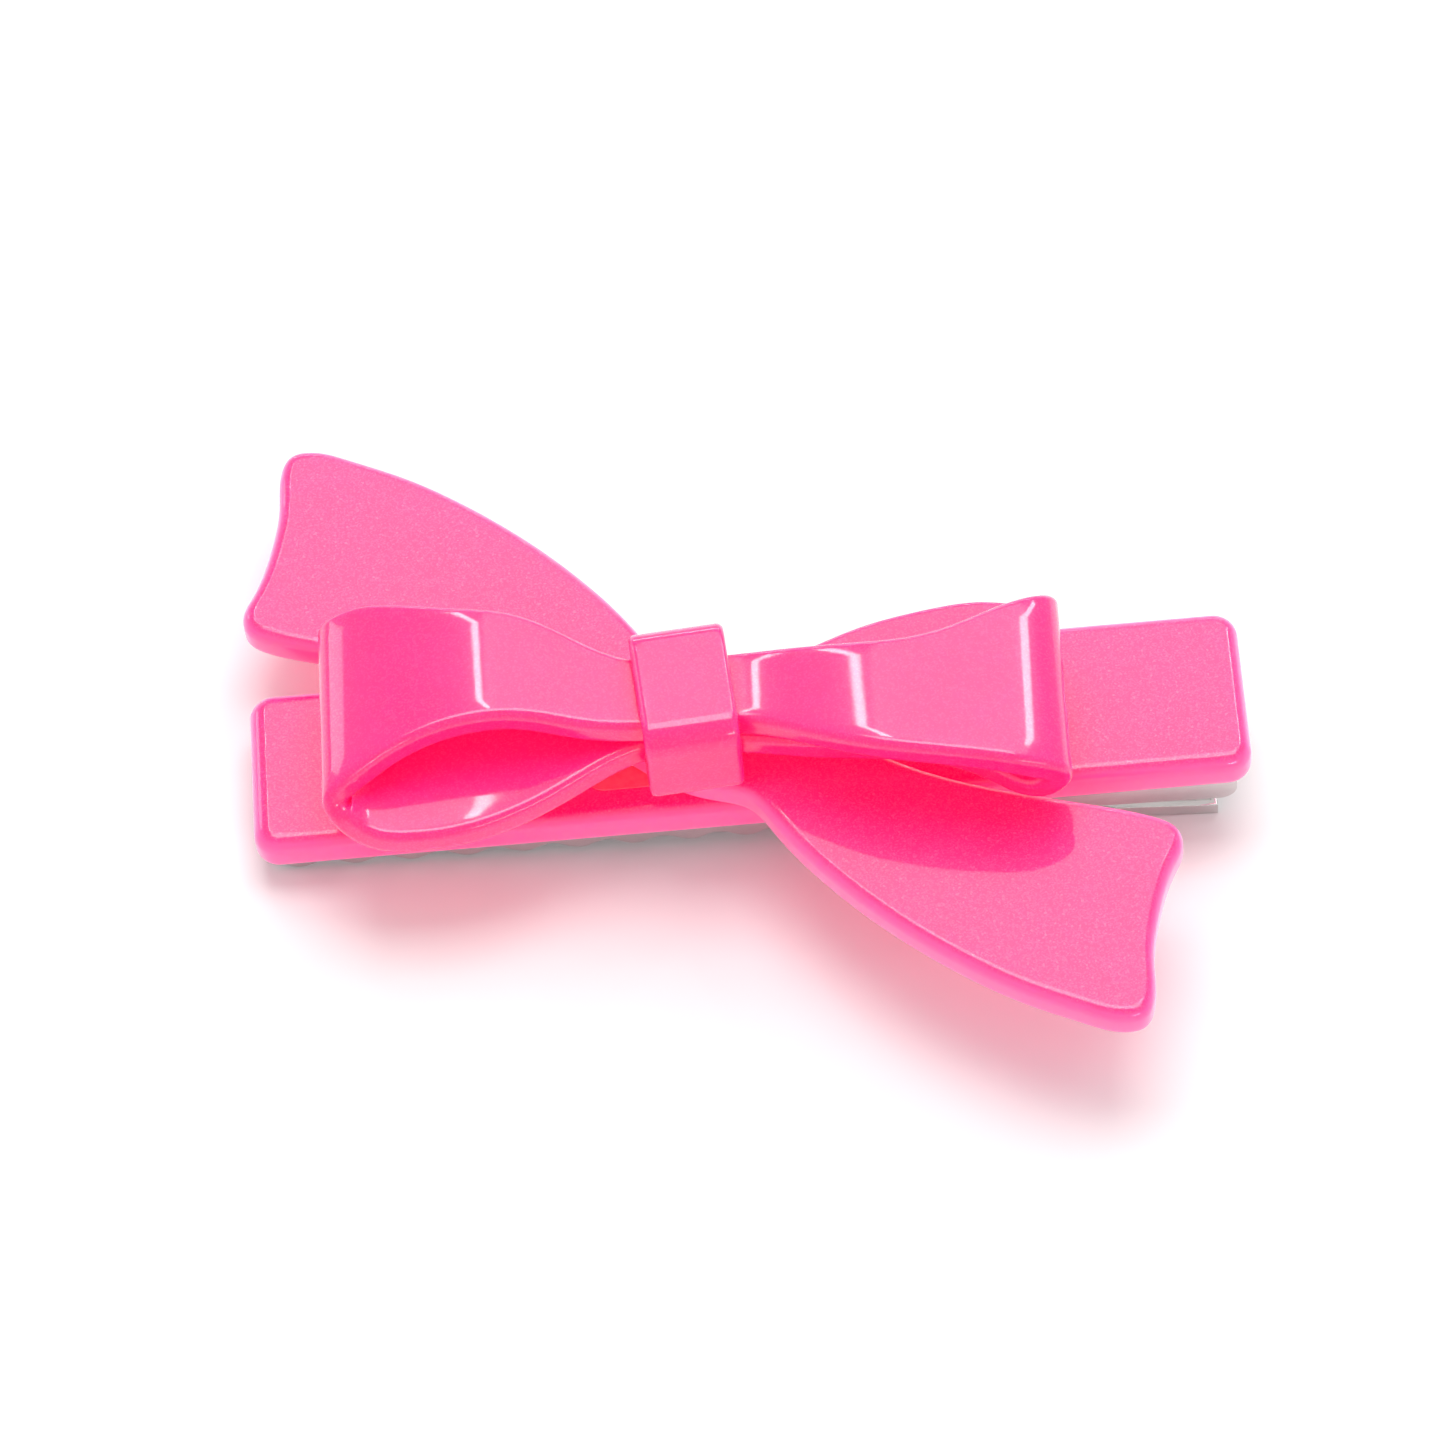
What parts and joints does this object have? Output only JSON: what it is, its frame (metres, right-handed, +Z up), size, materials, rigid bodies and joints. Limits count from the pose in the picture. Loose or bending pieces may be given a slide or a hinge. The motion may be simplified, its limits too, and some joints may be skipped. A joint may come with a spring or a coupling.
{
  "type": "alligator hair clip",
  "caption": "Toothed metal alligator hair clip with a sprung lever, under a glossy pearl resin bar with flat fishtails and a looped bow.",
  "frame": {"origin": "centre of the bounding box's base, on the surface that the clip lies on", "axes": "+X along the bar from the jaw tip to the handles, +Y to the back, +Z up; the bar itself is 3.6 degrees off level"},
  "size_m": [0.0642, 0.0498, 0.0166],
  "materials": {
    "pearl_acetate": "polished pearlescent",
    "bow_resin": "polished translucent",
    "adhesive": "clear cured adhesive",
    "plated_steel": "bright nickel plate",
    "spring_wire": "drawn wire"
  },
  "bodies": {
    "lower_jaw": {"lower_lever": "plated_steel", "torsion_spring": "spring_wire"},
    "upper_jaw": {"base_bar": "pearl_acetate", "tail_plate": "pearl_acetate", "left_loop": "bow_resin", "right_loop": "bow_resin", "bow_knot": "bow_resin", "clip_glue_film": "adhesive", "tail_glue_pad": "adhesive", "bow_glue_pad": "adhesive", "upper_lever": "plated_steel", "hinge_pin": "plated_steel"}
  },
  "joints": [
    {"name": "jaw_hinge", "type": "hinge", "parent": "lower_jaw", "child": "upper_jaw", "pos_m": [0.01226, 0.00122, 0.00234], "axis": [0, 1, 0], "range_deg": [0, 9], "stiffness_Nm_per_rad": 0.2, "springref_deg": -22.92, "deforming": ["torsion_spring"]}
  ]
}
